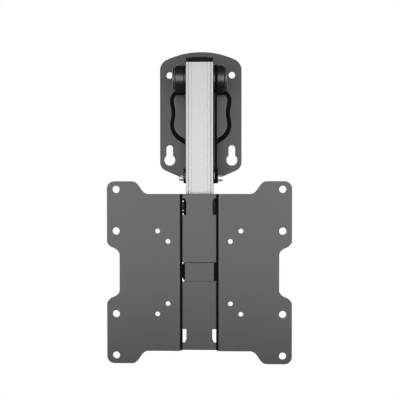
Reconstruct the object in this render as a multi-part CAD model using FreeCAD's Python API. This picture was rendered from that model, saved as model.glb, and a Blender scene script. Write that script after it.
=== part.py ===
"""Folding wall mount for a small television.

A pressed steel wall plate carries a friction hinge. The hinge holds an arm
made from an aluminium extrusion, and the arm's far end holds a pressed steel
screen plate on a tilt pivot. The model shows the mount folded flat.

Frame in millimetres: X to the right, Y towards the wall, Z up. The origin is
midway between the two upper wall screws, on the face that lies on the wall.
"""
import FreeCAD, Part
import math
import os

os.makedirs("parts", exist_ok=True)
V = FreeCAD.Vector

# Wall plate
plate_thickness = 2.5
plate_width = 104.8
plate_top = 29.6
plate_bottom = -130.9
top_arc_radius = 104.0
shoulder_radius = 15.0
lower_corner_radius = 12.0
tail_width = 52.0
tail_slope_deg = 23.5
screw_spacing = 80.0
screw_hole_diameter = 8.5
keyhole_drop = 94.0
keyhole_head_offset = 14.9
keyhole_head_diameter = 14.0

# Raised panel pressed into the wall plate: widths and drops of the corners of its
# outline, from a flat top down through shoulder, waist and hip to a round bottom
panel_height = 6.0
panel_flank_run = 5.6
panel_crease_radius = 2.4
panel_top_drop = 20.2
panel_top_width = 68.8
panel_top_radius = 8.4
panel_shoulder_drop = 30.2
panel_shoulder_width = 81.3
panel_shoulder_radius = 17.0
panel_waist_drop = 49.2
panel_waist_width = 74.0
panel_waist_radius = 30.0
panel_hip_drop = 74.2
panel_hip_width = 84.6
panel_hip_radius = 24.0
panel_base_drop = 103.0
panel_base_radius = 45.0
smallest_bend = 0.6

# Friction hinge, with its axis along X
hinge_depth = 28.0
hinge_drop = 8.1
hinge_bolt_diameter = 10.0
ear_span = 62.0
ear_thickness = 2.8
ear_round_diameter = 27.0
ear_foot_reach = 13.6
ear_foot_low = -18.5
ear_foot_high = 5.0
drum_diameter = 34.4
drum_rim_radius = 2.6
friction_disc_thickness = 0.9
friction_disc_diameter = 31.0
spring_cavity_diameter = 22.0
spring_cavity_depth = 6.4
spring_thickness = 1.1
spring_diameter = 20.0
spring_cone_height = 0.9
dome_diameter = 22.0
dome_height = 1.5
sleeve_nut_diameter = 12.0
sleeve_nut_length = 7.5
sleeve_thread_diameter = 8.0
hex_key_width = 5.0
rivet_diameter = 4.8
rivet_head_diameter = 8.0
rivet_head_height = 1.4
rivet_pitch = 12.0
bumper_diameter = 12.0
bumper_pitch = 28.0
bumper_gap = 0.3

# Arm extrusion
arm_width = 33.4
arm_depth = 32.0
arm_back_offset = 9.0
arm_top_overhang = 16.8
arm_wall = 2.2
arm_rib = 1.6
arm_rib_spacing = 22.9
arm_corner_radius = 0.8
groove_width = 0.9
groove_depth = 0.7
groove_inner_spacing = 19.6
groove_outer_spacing = 27.5
cap_height = 5.5
cap_crown_height = 0.7
cap_inset = 0.3
cap_plug_depth = 8.0
cap_edge_radius = 3.0
arm_tail = 14.0
end_cap_height = 3.0

# Steel bracket behind the arm, and the plate on its right side
bracket_sheet = 2.0
bracket_gap = 0.1
bracket_eye_diameter = 33.2
bracket_low_wall = 5.0
bracket_web_start = 9.0
side_plate_thickness = 2.3
side_plate_width = 12.0
cross_bolt_drop = 124.3
cross_bolt_diameter = 5.0
cross_head_diameter = 8.5
cross_key_width = 4.0
cross_nut_flats = 8.0
cross_washer_diameter = 10.0
cross_washer_thickness = 0.8
lug_above = 12.1
lug_below = 6.7
lug_width = 14.0
clamp_pad_thickness = 1.2

# Tilt pivot and its guide, both along X
pivot_reach = 238.2
pivot_behind_front = 17.0
pivot_bolt_diameter = 8.0
pivot_head_diameter = 13.0
pivot_key_width = 6.0
pivot_nut_flats = 13.0
pivot_washer_diameter = 16.0
pivot_washer_thickness = 1.6
shim_thickness = 0.6
clevis_sheet = 2.6
clevis_bend_radius = 4.6
clevis_left_height = 19.6
clevis_web_gap = 0.7
clevis_shoulder_width = 36.8
guide_bolt_diameter = 6.0
guide_head_diameter = 10.0
guide_key_width = 5.0
guide_nut_flats = 10.0
guide_washer_diameter = 12.0
guide_washer_thickness = 1.2
guide_sheet = 2.2
guide_side_gap = 0.3
guide_margin = 4.5
guide_height = 28.0
thread_stand_out = 1.3
tilt_forward_deg = 12.0
tilt_back_deg = 4.0
tilt_gap = 7.8

# Screen plate, with its own centre on the tilt pivot's level
screen_sheet = 2.5
screen_width = 222.2
screen_height = 219.6
screen_waist_width = 191.8
screen_waist_height = 60.2
screen_middle_height = 189.2
screen_shoulder_width = 142.2
screen_ear_radius = 9.0
screen_sweep_radius = 9.2
screen_notch_radius = 8.3
screen_sweep_lean = 1.5
screen_notch_lean = 0.75
channel_width = 40.6
channel_depth = 6.0
channel_flank_run = 2.9
channel_bend_radius = 0.8
slot_margin = 25.4
upper_slot_height = 20.2
lower_slot_height = 16.6
slot_width = 4.6
slot_corner_run = 1.9
slot_corner_rise = 4.6
window_height = 23.6
channel_front_step = 0.8
window_width = 41.0
hole_pattern_large = 200.0
hole_pattern_medium = 100.0
hole_pattern_small = 75.0
large_hole_diameter = 8.7
small_hole_diameter = 5.7

# Clearances
pin_clearance = 0.08
bolt_clearance = 0.1
side_clearance = 0.1
slot_clearance = 0.3
tube_clearance = 0.08
through = 200.0

# Places worked out from the sizes above
hinge_y = -hinge_depth
hinge_z = -hinge_drop
arm_half = arm_width / 2
arm_back = hinge_y + arm_back_offset
arm_front = arm_back - arm_depth
arm_middle = (arm_back + arm_front) / 2
arm_top = hinge_z + arm_top_overhang
wall_in = arm_half + bracket_gap
wall_out = wall_in + bracket_sheet
side_plate_out = wall_out + side_plate_thickness
ear_in = ear_span / 2
ear_out = ear_in + ear_thickness
web_back = arm_back + bracket_sheet
cross_y = arm_middle
cross_z = hinge_z - cross_bolt_drop
lug_top = cross_z + lug_above
lug_bottom = cross_z - lug_below
pivot_y = arm_front + pivot_behind_front
pivot_z = hinge_z - pivot_reach
arm_bottom = pivot_z - arm_tail
channel_back = arm_front - tilt_gap
channel_front = channel_back - screen_sheet
wing_front = channel_front - channel_depth
wing_back = wing_front + screen_sheet
clevis_in = arm_half + shim_thickness + side_clearance
clevis_out = clevis_in + clevis_sheet
clevis_front = channel_front + channel_front_step
clevis_web_height = window_height - 2 * clevis_web_gap
slot_start = screen_middle_height / 2 - slot_margin
guide_radius = slot_start + upper_slot_height / 2
guide_z = pivot_z + guide_radius
guide_in = arm_half + guide_side_gap
guide_out = guide_in + guide_sheet
panel_front = -plate_thickness - panel_height


def rounded_outline(corners, plane):
    """Closed wire through corner points (a, b, radius), each rounded by its radius."""
    points = [V(a, b, 0) for a, b, radius in corners]
    count = len(points)
    cuts = []
    for i in range(count):
        corner = points[i]
        to_last = (points[i - 1] - corner).normalize()
        to_next = (points[(i + 1) % count] - corner).normalize()
        half = to_last.getAngle(to_next) / 2
        radius = corners[i][2]
        if radius == 0:
            cuts.append((corner, None, corner))
            continue
        back = radius / math.tan(half)
        start = corner + to_last * back
        end = corner + to_next * back
        inward = (to_last + to_next).normalize()
        middle = corner + inward * (radius / math.sin(half) - radius)
        cuts.append((start, middle, end))
    edges = []
    for i in range(count):
        start, middle, end = cuts[i]
        if middle is not None:
            edges.append(Part.Arc(plane(start), plane(middle), plane(end)).toShape())
        following = cuts[(i + 1) % count][0]
        if end.distanceToPoint(following) > 1e-6:
            edges.append(Part.LineSegment(plane(end), plane(following)).toShape())
    return Part.Wire(edges)


def front_view(y):
    """Outline coordinates (x, z) laid in the plane at depth y."""
    return lambda p: V(p.x, y, p.y)


def side_view(x):
    """Outline coordinates (y, z) laid in the plane at width x."""
    return lambda p: V(x, p.x, p.y)


def plan_view(z):
    """Outline coordinates (x, y) laid in the plane at height z."""
    return lambda p: V(p.x, p.y, z)


def sheet_along_y(corners, y_low, y_high):
    wire = rounded_outline(corners, front_view(y_low))
    return Part.Face(wire).extrude(V(0, y_high - y_low, 0))


def sheet_along_x(corners, x_low, x_high):
    wire = rounded_outline(corners, side_view(x_low))
    return Part.Face(wire).extrude(V(x_high - x_low, 0, 0))


def bar_along_z(corners, z_low, z_high):
    wire = rounded_outline(corners, plan_view(z_low))
    return Part.Face(wire).extrude(V(0, 0, z_high - z_low))


def rod_x(diameter, x_low, x_high, y, z):
    return Part.makeCylinder(diameter / 2, x_high - x_low, V(x_low, y, z), V(1, 0, 0))


def rod_y(diameter, y_low, y_high, x, z):
    return Part.makeCylinder(diameter / 2, y_high - y_low, V(x, y_low, z), V(0, 1, 0))


def ring_x(outer, inner, x_low, x_high, y, z):
    return rod_x(outer, x_low, x_high, y, z).cut(rod_x(inner, x_low - 1, x_high + 1, y, z))


def block(x_low, x_high, y_low, y_high, z_low, z_high):
    return Part.makeBox(x_high - x_low, y_high - y_low, z_high - z_low, V(x_low, y_low, z_low))


def hexagon_x(across_flats, x_low, x_high, y, z):
    radius = across_flats / math.sqrt(3)
    turns = [math.radians(60 * i) for i in range(6)]
    corners = [(y + radius * math.cos(t), z + radius * math.sin(t), 0) for t in turns]
    return sheet_along_x(corners, x_low, x_high)


def mirror_x(shape):
    return shape.mirror(V(0, 0, 0), V(1, 0, 0))


def drill_y(shape, diameter, places, y_low=-through, y_high=through):
    for x, z in places:
        shape = shape.cut(rod_y(diameter, y_low, y_high, x, z))
    return shape


def corners_of(spacing_x, spacing_z, centre_z):
    return [(sx * spacing_x / 2, centre_z + sz * spacing_z / 2) for sx in (-1, 1) for sz in (-1, 1)]


# Wall plate

def wall_plate_outline():
    half = plate_width / 2
    tail_half = tail_width / 2
    arc_centre = plate_top - top_arc_radius
    shoulder_x = half - shoulder_radius
    reach = top_arc_radius - shoulder_radius
    shoulder_z = arc_centre + math.sqrt(reach ** 2 - shoulder_x ** 2)
    touch = V(shoulder_x, shoulder_z - arc_centre, 0).normalize() * top_arc_radius
    shoulder_turn = math.atan2(shoulder_z - arc_centre, shoulder_x) / 2
    bend_x = shoulder_x + shoulder_radius * math.cos(shoulder_turn)
    bend_z = shoulder_z + shoulder_radius * math.sin(shoulder_turn)
    slope = math.radians(tail_slope_deg)
    corner_z = plate_bottom + (half - tail_half) * math.tan(slope)
    back = lower_corner_radius * math.tan((math.pi / 2 - slope) / 2)
    # the lower corner's arc runs from the side to the sloping edge
    side_end = V(half, 0, corner_z + back)
    slope_start = V(half - back * math.cos(slope), 0, corner_z - back * math.sin(slope))
    arc_mid_turn = -(math.pi / 2 - slope) / 2
    centre = V(half - lower_corner_radius, 0, corner_z + back)
    arc_mid = centre + V(math.cos(arc_mid_turn), 0, math.sin(arc_mid_turn)) * lower_corner_radius
    shoulder_end = V(half, 0, shoulder_z)
    shoulder_mid = V(bend_x, 0, bend_z)
    shoulder_start = V(touch.x, 0, arc_centre + touch.y)
    tail = V(tail_half, 0, plate_bottom)

    def left(p):
        return V(-p.x, 0, p.z)

    edges = [
        Part.Arc(left(shoulder_start), V(0, 0, plate_top), shoulder_start),
        Part.Arc(shoulder_start, shoulder_mid, shoulder_end),
        Part.LineSegment(shoulder_end, side_end),
        Part.Arc(side_end, arc_mid, slope_start),
        Part.LineSegment(slope_start, tail),
        Part.LineSegment(tail, left(tail)),
        Part.LineSegment(left(tail), left(slope_start)),
        Part.Arc(left(slope_start), left(arc_mid), left(side_end)),
        Part.LineSegment(left(side_end), left(shoulder_end)),
        Part.Arc(left(shoulder_end), left(shoulder_mid), left(shoulder_start)),
    ]
    return Part.Wire([edge.toShape() for edge in edges])


def panel_corners():
    """Corners of the raised panel's outline, clockwise from the top left."""
    right = [
        (panel_top_width / 2, -panel_top_drop, panel_top_radius),
        (panel_shoulder_width / 2, -panel_shoulder_drop, panel_shoulder_radius),
        (panel_waist_width / 2, -panel_waist_drop, panel_waist_radius),
        (panel_hip_width / 2, -panel_hip_drop, panel_hip_radius),
    ]
    left = [(-x, z, r) for x, z, r in reversed(right)]
    return right + [(0.0, -panel_base_drop, panel_base_radius)] + left


def drawn_in(corners, inset):
    """The same clockwise outline with every side moved in; bends stay concentric."""
    moved = []
    count = len(corners)
    for i in range(count):
        before, here, after = (V(*corners[j % count][:2], 0) for j in (i - 1, i, i + 1))
        to_here = (here - before).normalize()
        to_next = (after - here).normalize()
        turn = to_here.x * to_next.y - to_here.y * to_next.x
        inward = V(to_here.y + to_next.y, -to_here.x - to_next.x, 0)
        shift = inward * (inset / (1 + to_here.dot(to_next)))
        radius = corners[i][2] + (inset if turn > 0 else -inset)
        moved.append((here.x + shift.x, here.y + shift.y, max(radius, smallest_bend)))
    return moved


def raised_panel(inset, y_base):
    """Solid of the raised panel: foot, sloping flank, rounded crease and flat crown."""
    slope = math.atan2(panel_height, panel_flank_run)
    setback = panel_crease_radius * math.tan(slope / 2)
    levels = [
        (0.0, 0.0),
        (panel_flank_run - setback * math.cos(slope), panel_height - setback * math.sin(slope)),
        (panel_flank_run + setback - panel_crease_radius * math.sin(slope / 2),
         panel_height - panel_crease_radius * (1 - math.cos(slope / 2))),
        (panel_flank_run + setback, panel_height),
    ]
    wires = [rounded_outline(drawn_in(panel_corners(), inset + step), front_view(y_base - rise))
             for step, rise in levels]
    faces = [Part.Face(wires[0]), Part.Face(wires[-1])]
    for lower, upper in zip(wires, wires[1:]):
        for edge, inner_edge in zip(lower.OrderedEdges, upper.OrderedEdges):
            faces.append(Part.makeRuledSurface(edge, inner_edge))
    return Part.makeSolid(Part.makeShell(faces))


def keyhole(x):
    head_z = -keyhole_drop - keyhole_head_offset
    neck = block(x - screw_hole_diameter / 2, x + screw_hole_diameter / 2, -10, 1, head_z, -keyhole_drop)
    top = rod_y(screw_hole_diameter, -10, 1, x, -keyhole_drop)
    head = rod_y(keyhole_head_diameter, -10, 1, x, head_z)
    return neck.fuse(top).fuse(head)


def rivet_places():
    x = ear_out - ear_foot_reach / 2 - ear_thickness / 2
    middle = (ear_foot_low + ear_foot_high) / 2
    return [(sx * x, middle + sz * rivet_pitch / 2) for sx in (-1, 1) for sz in (-1, 1)]


def wall_plate():
    blank = Part.Face(wall_plate_outline()).extrude(V(0, -plate_thickness, 0))
    crown = raised_panel(0, -plate_thickness)
    slope = math.atan2(panel_height, panel_flank_run)
    hollow = raised_panel(plate_thickness * math.tan(slope / 2), 0.0)
    plate = blank.fuse(crown).cut(hollow)
    half = screw_spacing / 2
    plate = drill_y(plate, screw_hole_diameter, [(-half, 0), (half, 0)])
    for x in (-half, half):
        plate = plate.cut(keyhole(x))
    return drill_y(plate, rivet_diameter + 2 * bolt_clearance, rivet_places())


# Hinge pieces that stay with the wall plate

def hinge_ear():
    """Right ear: a round-ended cheek on a foot that is riveted to the wall plate."""
    radius = ear_round_diameter / 2
    foot_y = -plate_thickness
    cheek = sheet_along_x([
        (foot_y, ear_foot_low, 0), (foot_y, ear_foot_high, 0),
        (hinge_y, hinge_z + radius, 0), (hinge_y, hinge_z - radius, 0),
    ], ear_in, ear_out)
    cheek = cheek.fuse(rod_x(ear_round_diameter, ear_in, ear_out, hinge_y, hinge_z))
    foot = block(ear_out - ear_foot_reach, ear_out, foot_y - ear_thickness, foot_y,
                 ear_foot_low, ear_foot_high)
    ear = cheek.fuse(foot).removeSplitter()
    bend = [e for e in ear.Edges if is_line_at(e, ear_out, foot_y)]
    return ear.makeFillet(ear_thickness * 0.8, bend)


def is_line_at(edge, x, y):
    return all(abs(v.Point.x - x) < 1e-3 and abs(v.Point.y - y) < 1e-3 for v in edge.Vertexes)


def hinge_ears():
    foot_holes = rivet_diameter + 2 * bolt_clearance
    right = hinge_ear()
    left = mirror_x(right)
    right = right.cut(rod_x(hinge_bolt_diameter + 2 * bolt_clearance, 0, through, hinge_y, hinge_z))
    left = left.cut(rod_x(sleeve_nut_diameter + 2 * bolt_clearance, -through, 0, hinge_y, hinge_z))
    return drill_y(left, foot_holes, rivet_places()), drill_y(right, foot_holes, rivet_places())


def ear_rivets():
    head_base = -plate_thickness - ear_thickness
    rivets = []
    for x, z in rivet_places():
        shank = rod_y(rivet_diameter, head_base, 0, x, z)
        head = rod_y(rivet_head_diameter, head_base - rivet_head_height, head_base, x, z)
        rim = [e for e in head.Edges if abs(e.BoundBox.YMax - head_base + rivet_head_height) < 1e-3]
        rivets.append(shank.fuse(head.makeFillet(rivet_head_height * 0.7, rim)))
    return Part.makeCompound(rivets)


def drum(x_inner, x_outer):
    """Hinge drum with a rounded rim at its outer end."""
    body = rod_x(drum_diameter, min(x_inner, x_outer), max(x_inner, x_outer), hinge_y, hinge_z)
    rim = [e for e in body.Edges if abs(e.BoundBox.XMin - x_outer) < 1e-3 and e.BoundBox.XLength < 1e-3]
    return body.makeFillet(drum_rim_radius, rim)


def hinge_drum_left():
    inner = -(wall_out + side_clearance + friction_disc_thickness)
    body = drum(inner, -ear_in)
    sleeve_end = -ear_out + sleeve_nut_length
    body = body.cut(rod_x(hinge_bolt_diameter + 2 * bolt_clearance, -through, 0, hinge_y, hinge_z))
    body = body.cut(rod_x(sleeve_nut_diameter + 2 * bolt_clearance, -through, sleeve_end, hinge_y, hinge_z))
    return body.cut(rod_x(spring_cavity_diameter, inner - spring_cavity_depth, inner, hinge_y, hinge_z))


def hinge_drum_right():
    inner = side_plate_out + side_clearance + friction_disc_thickness
    body = drum(inner, ear_in)
    return body.cut(rod_x(hinge_bolt_diameter + 2 * bolt_clearance, 0, through, hinge_y, hinge_z))


def friction_disc(x_low):
    return ring_x(friction_disc_diameter, hinge_bolt_diameter + 2 * bolt_clearance,
                  x_low, x_low + friction_disc_thickness, hinge_y, hinge_z)


def disc_springs():
    """Cone washers that press the left friction disc, set base to base in the drum."""
    mouth = -(wall_out + side_clearance + friction_disc_thickness)
    pitch = spring_thickness + spring_cone_height
    count = int((spring_cavity_depth + 1e-6) // pitch)
    inner = hinge_bolt_diameter / 2 + bolt_clearance
    outer = spring_diameter / 2
    springs = []
    for i in range(count):
        start = mouth - (i + 1) * pitch
        lean = spring_cone_height if i % 2 else 0.0
        rise = spring_cone_height - lean
        section = [(start + lean, inner), (start + lean + spring_thickness, inner),
                   (start + rise + spring_thickness, outer), (start + rise, outer)]
        points = [V(x, hinge_y, hinge_z + radius) for x, radius in section]
        face = Part.Face(Part.makePolygon(points + points[:1]))
        springs.append(face.revolve(V(0, hinge_y, hinge_z), V(1, 0, 0), 360))
    return Part.makeCompound(springs)


def dome(side):
    """Shallow domed head that lies on an ear; side is 1 at the right and -1 at the left."""
    ball = (dome_diameter ** 2 / 4 + dome_height ** 2) / (2 * dome_height)
    centre = V(side * (ear_out + dome_height - ball), hinge_y, hinge_z)
    cap = Part.makeSphere(ball, centre)
    slab = rod_x(dome_diameter + 2, min(side * ear_out, side * (ear_out + 5)),
                 max(side * ear_out, side * (ear_out + 5)), hinge_y, hinge_z)
    return cap.common(slab)


def key_socket(side):
    tip = side * (ear_out + dome_height + 1)
    floor = side * (ear_out - 1.5)
    return hexagon_x(hex_key_width, min(tip, floor), max(tip, floor), hinge_y, hinge_z)


def hinge_bolt():
    thread_start = -ear_out + sleeve_nut_length + 1.0
    thread_end = -ear_out + 3.0
    shank = rod_x(hinge_bolt_diameter, thread_start, ear_out, hinge_y, hinge_z)
    thread = rod_x(sleeve_thread_diameter, thread_end, thread_start, hinge_y, hinge_z)
    return dome(1).fuse(shank).fuse(thread).removeSplitter().cut(key_socket(1))


def hinge_nut():
    sleeve_end = -ear_out + sleeve_nut_length
    sleeve = rod_x(sleeve_nut_diameter, -ear_out, sleeve_end, hinge_y, hinge_z)
    bore = rod_x(sleeve_thread_diameter + bolt_clearance, -ear_out + 2.0, sleeve_end + 1, hinge_y, hinge_z)
    return dome(-1).fuse(sleeve).removeSplitter().cut(bore).cut(key_socket(-1))


def bumper_levels():
    middle = -(panel_top_drop + panel_hip_drop) / 2
    return [middle + s * bumper_pitch / 2 for s in (-1, 1)]


def rest_bumpers():
    """Rubber buttons on the raised panel, where the folded arm comes to rest."""
    tip = web_back + bumper_gap
    buttons = []
    for z in bumper_levels():
        button = rod_y(bumper_diameter, tip, panel_front, 0, z)
        rim = [e for e in button.Edges if abs(e.BoundBox.YMax - tip) < 1e-3]
        buttons.append(button.makeFillet(1.5, rim))
    return Part.makeCompound(buttons)


# Arm

def groove_lines():
    return [s * spacing / 2 for spacing in (groove_inner_spacing, groove_outer_spacing) for s in (-1, 1)]


def v_groove(x, z_low, z_high):
    half = groove_width / 2
    points = [(x - half, arm_front - 0.5, 0), (x + half, arm_front - 0.5, 0),
              (x + half, arm_front, 0), (x, arm_front + groove_depth, 0), (x - half, arm_front, 0)]
    return bar_along_z(points, z_low, z_high)


def arm_bore(diameter, y, z):
    return rod_x(diameter, -arm_half - 1, arm_half + 1, y, z)


def tube_diameter(bolt_diameter):
    return bolt_diameter + 4.0


def arm_profile():
    """Extrusion with three chambers, two shallow groove pairs down its front face."""
    r = arm_corner_radius
    outer = bar_along_z([(-arm_half, arm_front, r), (arm_half, arm_front, r),
                         (arm_half, arm_back, r), (-arm_half, arm_back, r)], arm_bottom, arm_top)
    rib = arm_rib_spacing / 2
    inner_half = arm_half - arm_wall
    y_low = arm_front + arm_wall
    y_high = arm_back - arm_wall
    spans = [(-inner_half, -rib - arm_rib / 2), (-rib + arm_rib / 2, rib - arm_rib / 2),
             (rib + arm_rib / 2, inner_half)]
    for x_low, x_high in spans:
        outer = outer.cut(block(x_low, x_high, y_low, y_high, arm_bottom - 1, arm_top + 1))
    for x in groove_lines():
        outer = outer.cut(v_groove(x, arm_bottom - 1, arm_top + 1))
    bores = [(hinge_bolt_diameter, hinge_y, hinge_z), (cross_bolt_diameter, cross_y, cross_z),
             (guide_bolt_diameter, pivot_y, guide_z), (pivot_bolt_diameter, pivot_y, pivot_z)]
    for bolt, y, z in bores:
        outer = outer.cut(arm_bore(tube_diameter(bolt) + 2 * tube_clearance, y, z))
    return outer


def spacer_tube(bolt_diameter, half_length, y, z):
    """Steel tube that keeps the extrusion from being crushed when its bolt is drawn up."""
    return ring_x(tube_diameter(bolt_diameter), bolt_diameter + 2 * pin_clearance,
                  -half_length, half_length, y, z)


def arm_cap(z_seat, height, direction):
    """Moulded end cap: a flange with a raised crown, and a plug in the middle chamber."""
    half = arm_half - cap_inset
    low = min(z_seat, z_seat + direction * height)
    flange = bar_along_z([(-half, arm_front + cap_inset, 1), (half, arm_front + cap_inset, 1),
                          (half, arm_back - cap_inset, 1), (-half, arm_back - cap_inset, 1)],
                         low, low + height)
    outer_z = z_seat + direction * height
    back_edge = [e for e in flange.Edges
                 if abs(e.BoundBox.ZMin - outer_z) < 1e-3 and abs(e.BoundBox.ZMax - outer_z) < 1e-3
                 and e.BoundBox.YMin > arm_back - cap_inset - 1e-3 and e.BoundBox.XLength > arm_half]
    flange = flange.makeFillet(min(cap_edge_radius, height * 0.8), back_edge)
    for x in groove_lines():
        flange = flange.cut(v_groove(x, low - 1, low + height + 1))
        flange = flange.cut(block(x - groove_width / 2, x + groove_width / 2, arm_front,
                                  arm_front + cap_inset + groove_depth, low - 1, low + height + 1))
    crown_half = (groove_inner_spacing - groove_width) / 2
    crown_reach = height + cap_crown_height
    crown_low = min(z_seat, z_seat + direction * crown_reach)
    crown = block(-crown_half, crown_half, arm_front + cap_inset, arm_back - cap_inset - cap_edge_radius,
                  crown_low, crown_low + crown_reach)
    flange = flange.fuse(crown)
    plug_half = (arm_rib_spacing - arm_rib) / 2 - side_clearance
    depth = min(cap_plug_depth, abs(z_seat - nearest_bore(z_seat)) - 1)
    plug_low = min(z_seat, z_seat - direction * depth)
    plug = block(-plug_half, plug_half, arm_front + arm_wall + side_clearance,
                 arm_back - arm_wall - side_clearance, plug_low, plug_low + depth)
    hollow = block(-plug_half + 2, plug_half - 2, arm_front + arm_wall + 2, arm_back - arm_wall - 2,
                   plug_low, plug_low + depth)
    return flange.fuse(plug.cut(hollow)).removeSplitter()


def nearest_bore(z_seat):
    """Nearest level that a cap's plug must stay short of: the edge of the closest cross tube."""
    if z_seat > hinge_z:
        return hinge_z + tube_diameter(hinge_bolt_diameter) / 2
    return pivot_z - tube_diameter(pivot_bolt_diameter) / 2


def lug(x_low, x_high, width):
    """Oblong lug round the cross bolt, longer above the bolt than below."""
    half = width / 2
    end = min(half, lug_below) * 0.98
    return sheet_along_x([(cross_y - half, lug_bottom, end), (cross_y + half, lug_bottom, end),
                          (cross_y + half, lug_top, end), (cross_y - half, lug_top, end)], x_low, x_high)


def bracket_wall(x_low, x_high):
    low_front = web_back - bracket_low_wall - bracket_sheet
    strip = block(x_low, x_high, low_front, web_back, lug_bottom, hinge_z - bracket_web_start)
    eye = rod_x(bracket_eye_diameter, x_low, x_high, hinge_y, hinge_z)
    return strip.fuse(eye).fuse(lug(x_low, x_high, lug_width)).fuse(
        block(x_low, x_high, cross_y, web_back, lug_bottom + lug_below, lug_top - lug_below))


def arm_bracket():
    """Folded steel bracket: a web behind the arm, low walls, and eyes and lugs for the bolts."""
    web = block(-wall_out, wall_out, arm_back, web_back, lug_bottom, hinge_z - bracket_web_start)
    bracket = web.fuse(bracket_wall(wall_in, wall_out)).fuse(bracket_wall(-wall_out, -wall_in))
    bracket = bracket.removeSplitter()
    bracket = bracket.cut(rod_x(hinge_bolt_diameter + 2 * pin_clearance, -through, through, hinge_y, hinge_z))
    return bracket.cut(rod_x(cross_bolt_diameter + 2 * bolt_clearance, -through, through, cross_y, cross_z))


def side_plate():
    """Flat plate on the right: an eye on the hinge, a strip along the arm and a lug on the bolt."""
    half = side_plate_width / 2
    eye = rod_x(drum_diameter, wall_out, side_plate_out, hinge_y, hinge_z)
    strip = sheet_along_x([(hinge_y - half, hinge_z, 0), (hinge_y + half, hinge_z, 0),
                           (cross_y + half, cross_z, 0), (cross_y - half, cross_z, 0)],
                          wall_out, side_plate_out)
    plate = eye.fuse(strip).fuse(lug(wall_out, side_plate_out, lug_width)).removeSplitter()
    plate = plate.cut(rod_x(hinge_bolt_diameter + 2 * pin_clearance, 0, through, hinge_y, hinge_z))
    return plate.cut(rod_x(cross_bolt_diameter + 2 * bolt_clearance, 0, through, cross_y, cross_z))


def clamp_pad(x_low):
    pad = lug(x_low, x_low + clamp_pad_thickness, lug_width - 1)
    return pad.cut(rod_x(cross_bolt_diameter + 2 * bolt_clearance, -through, through, cross_y, cross_z))


def socket_screw(diameter, x_seat, x_end, y, z, head_diameter, head_height, key_width):
    """Cap screw that enters from the right: x_seat is under its head, x_end its tip."""
    head = rod_x(head_diameter, x_seat, x_seat + head_height, y, z)
    rim = [e for e in head.Edges if e.BoundBox.XLength < 1e-3 and e.BoundBox.XMin > x_seat + 0.01]
    head = head.makeFillet(head_height * 0.1, rim)
    shank = rod_x(diameter, x_end, x_seat, y, z)
    tip = [e for e in shank.Edges if e.BoundBox.XLength < 1e-3 and e.BoundBox.XMin < x_end + 0.01]
    shank = shank.makeChamfer(diameter * 0.1, tip)
    key = hexagon_x(key_width, x_seat + head_height * 0.5, x_seat + head_height + 1, y, z)
    return head.fuse(shank).removeSplitter().cut(key)


def lock_nut(diameter, x_seat, y, z, across_flats, height):
    """Lock nut on a screw's left end: a hexagon with a round collar, seated at x_seat."""
    collar = height * 0.3
    body = hexagon_x(across_flats, x_seat - height + collar, x_seat, y, z)
    cone = Part.makeCone(across_flats * 0.42, across_flats * 0.62, height,
                         V(x_seat - height, y, z), V(1, 0, 0))
    round_end = rod_x(across_flats * 0.92, x_seat - height, x_seat - height + collar, y, z)
    body = body.common(rod_x(across_flats * 1.12, x_seat - height, x_seat, y, z))
    nut = body.fuse(round_end.common(cone.fuse(round_end)))
    return nut.removeSplitter().cut(rod_x(diameter + bolt_clearance, x_seat - height - 1, x_seat + 1, y, z))


def cross_fasteners():
    right = side_plate_out + clamp_pad_thickness
    washer_out = right + cross_washer_thickness
    left = -wall_out - clamp_pad_thickness
    nut_height = cross_bolt_diameter
    screw = socket_screw(cross_bolt_diameter, washer_out, left - nut_height - thread_stand_out,
                         cross_y, cross_z, cross_head_diameter, cross_bolt_diameter, cross_key_width)
    nut = lock_nut(cross_bolt_diameter, left, cross_y, cross_z, cross_nut_flats, nut_height)
    washer = ring_x(cross_washer_diameter, cross_bolt_diameter + 2 * bolt_clearance, right, washer_out,
                    cross_y, cross_z)
    return screw, nut, washer


def guide_fasteners():
    seat = guide_out + side_clearance
    right = seat + guide_washer_thickness
    nut_height = guide_bolt_diameter
    screw = socket_screw(guide_bolt_diameter, right, -right - nut_height - thread_stand_out,
                         pivot_y, guide_z, guide_head_diameter, guide_bolt_diameter, guide_key_width)
    nut = lock_nut(guide_bolt_diameter, -right, pivot_y, guide_z, guide_nut_flats, nut_height)
    hole = guide_bolt_diameter + 2 * bolt_clearance
    washers = [ring_x(guide_washer_diameter, hole, low, low + guide_washer_thickness, pivot_y, guide_z)
               for low in (seat, -right)]
    return screw, nut, Part.makeCompound(washers)


# Screen head

def pivot_fasteners():
    right = clevis_out + pivot_washer_thickness
    nut_height = pivot_bolt_diameter
    screw = socket_screw(pivot_bolt_diameter, right, -right - nut_height - thread_stand_out,
                         pivot_y, pivot_z, pivot_head_diameter, pivot_bolt_diameter, pivot_key_width)
    nut = lock_nut(pivot_bolt_diameter, -right, pivot_y, pivot_z, pivot_nut_flats, nut_height)
    hole = pivot_bolt_diameter + 2 * bolt_clearance
    washers = [ring_x(pivot_washer_diameter, hole, low, low + pivot_washer_thickness, pivot_y, pivot_z)
               for low in (clevis_out, -right)]
    shims = [ring_x(pivot_washer_diameter, hole, low, low + shim_thickness, pivot_y, pivot_z)
             for low in (clevis_in - shim_thickness, -clevis_in)]
    return screw, nut, Part.makeCompound(washers), Part.makeCompound(shims)


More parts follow.
